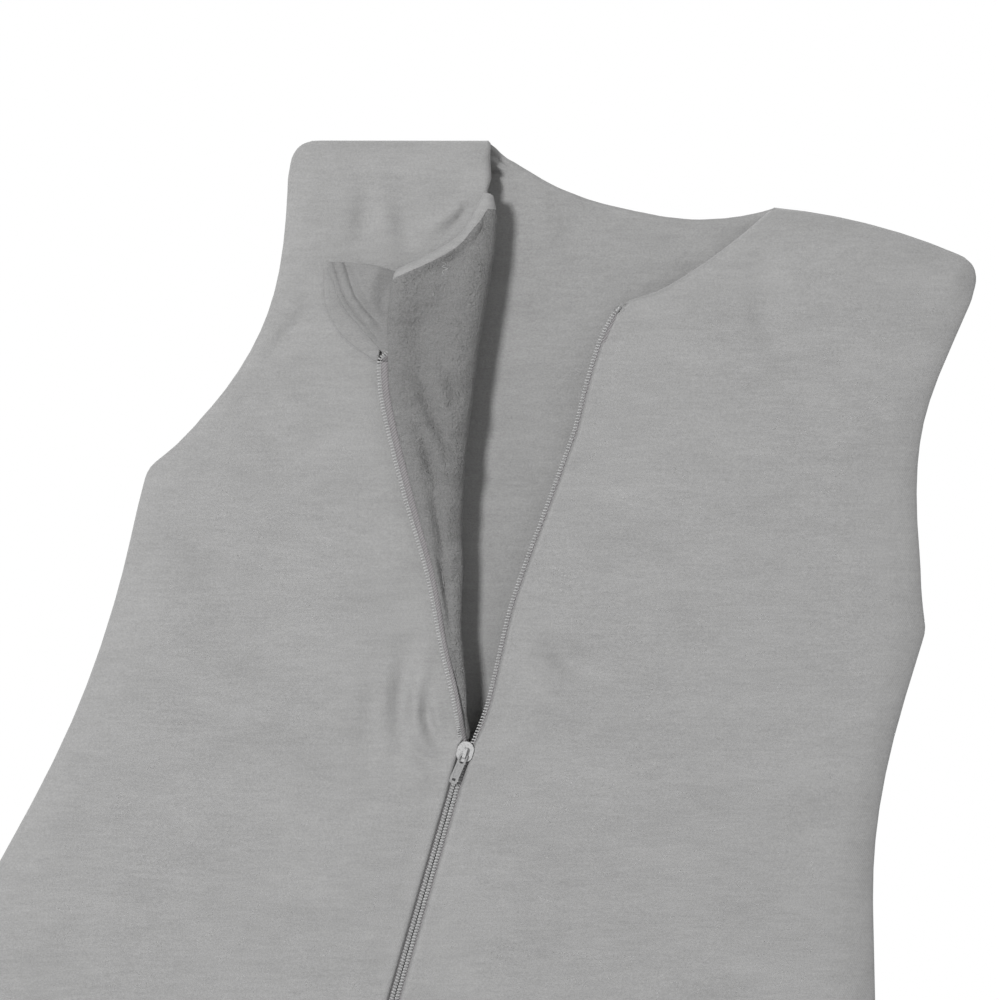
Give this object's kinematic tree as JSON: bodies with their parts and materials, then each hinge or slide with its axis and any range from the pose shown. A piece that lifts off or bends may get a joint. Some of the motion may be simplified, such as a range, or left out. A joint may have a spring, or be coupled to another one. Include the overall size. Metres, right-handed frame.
{
  "type": "baby sleeping bag",
  "caption": "Sleeveless padded grey baby sleeping bag, lying flat, front zip half open with the left front turned back and a chin guard at the zip's top.",
  "frame": {"origin": "middle of the footprint, on the surface the bag lies on", "axes": "+Y along the zip towards the neck, +Z out of the front, +X to the right seen from above"},
  "size_m": [0.49, 0.8999, 0.0356],
  "materials": {
    "shell_jersey": "fine single jersey, melange, matt",
    "brushed_lining": "brushed melange jersey, soft nap",
    "wadding": "bonded polyester wadding",
    "zip_tape": "woven twill tape",
    "zip_coil": "moulded nylon coil, satin",
    "slider_paint": "light grey lacquered die cast, faintly speckled",
    "zip_metal": "satin",
    "label_satin": "woven satin ribbon, blank"
  },
  "bodies": {
    "bag": {"back_outer": "shell_jersey", "back_wadding": "wadding", "back_lining": "brushed_lining", "left_front_outer": "shell_jersey", "left_front_wadding": "wadding", "left_front_lining": "brushed_lining", "right_front_outer": "shell_jersey", "right_front_wadding": "wadding", "right_front_lining": "brushed_lining", "side_seam_left": "shell_jersey", "side_seam_right": "shell_jersey", "hem_seam": "shell_jersey", "shoulder_seam_left": "shell_jersey", "shoulder_seam_right": "shell_jersey", "zip_tape_left": "zip_tape", "zip_tape_right": "zip_tape", "zip_coil_left": "zip_coil", "zip_coil_right": "zip_coil", "bottom_stop": "zip_metal", "care_label": "label_satin"},
    "left_flap": {"left_flap_outer": "shell_jersey", "left_flap_wadding": "wadding", "left_flap_lining": "brushed_lining", "flap_tape_left": "zip_tape", "flap_coil_left": "zip_coil", "top_stop_left": "zip_metal"},
    "right_flap": {"right_flap_outer": "shell_jersey", "right_flap_wadding": "wadding", "right_flap_lining": "brushed_lining", "flap_tape_right": "zip_tape", "flap_coil_right": "zip_coil", "top_stop_right": "zip_metal"},
    "chin_guard": {"chin_guard_outer": "shell_jersey", "chin_guard_lining": "brushed_lining"},
    "slider": {"slider_body": "slider_paint", "slider_crown": "slider_paint", "slider_lock_pin": "zip_metal"},
    "pull_tab": {"pull_tab": "slider_paint"}
  },
  "joints": [
    {"name": "left_flap_fold", "type": "hinge", "parent": "bag", "child": "left_flap", "pos_m": [-0.003, 0.196, 0.0266], "axis": [-0.2284, 0.9736, 0], "range_deg": [0, 180]},
    {"name": "right_flap_fold", "type": "hinge", "parent": "bag", "child": "right_flap", "pos_m": [0.003, 0.196, 0.0266], "axis": [0.2284, 0.9736, 0], "range_deg": [0, 180]},
    {"name": "chin_guard_lift", "type": "hinge", "parent": "left_flap", "child": "chin_guard", "pos_m": [-0.07178, 0.3416, 0.0266], "axis": [0.4099, -0.9121, 0], "range_deg": [-90, 0], "deforming": ["chin_guard_outer", "chin_guard_lining"]},
    {"name": "slider_travel", "type": "slide", "parent": "bag", "child": "slider", "axis": [0, -1, 0], "range_m": [0, 0.538], "deforming": ["zip_coil_left", "zip_coil_right"]},
    {"name": "pull_tab_swing", "type": "hinge", "parent": "slider", "child": "pull_tab", "pos_m": [0, 0.19485, 0.02575], "axis": [-0.9925, 0.1219, 0], "range_deg": [0, 170]}
  ]
}
